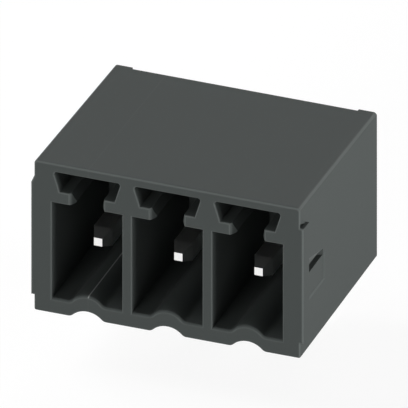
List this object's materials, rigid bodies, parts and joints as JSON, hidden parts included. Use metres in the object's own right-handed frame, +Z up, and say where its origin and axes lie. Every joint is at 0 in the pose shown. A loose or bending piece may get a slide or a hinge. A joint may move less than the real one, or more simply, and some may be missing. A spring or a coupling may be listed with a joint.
{
  "type": "pin header",
  "caption": "Right-angle pin header: a black moulded shroud with keyed chambers around square tinned pins that bend down to a circuit board.",
  "frame": {"origin": "centre of the middle solder tail, on the circuit board's surface", "axes": "+X along the row of poles, -Y out of the mating face towards the plug, +Z up from the board"},
  "size_m": [0.012, 0.0091, 0.0096],
  "materials": {
    "housing_plastic": "fine matte moulded surface",
    "tinned_pin": "bright tin plating over copper alloy"
  },
  "bodies": {
    "root": {"housing": "housing_plastic", "pin_1": "tinned_pin", "pin_2": "tinned_pin", "pin_3": "tinned_pin"}
  },
  "joints": []
}
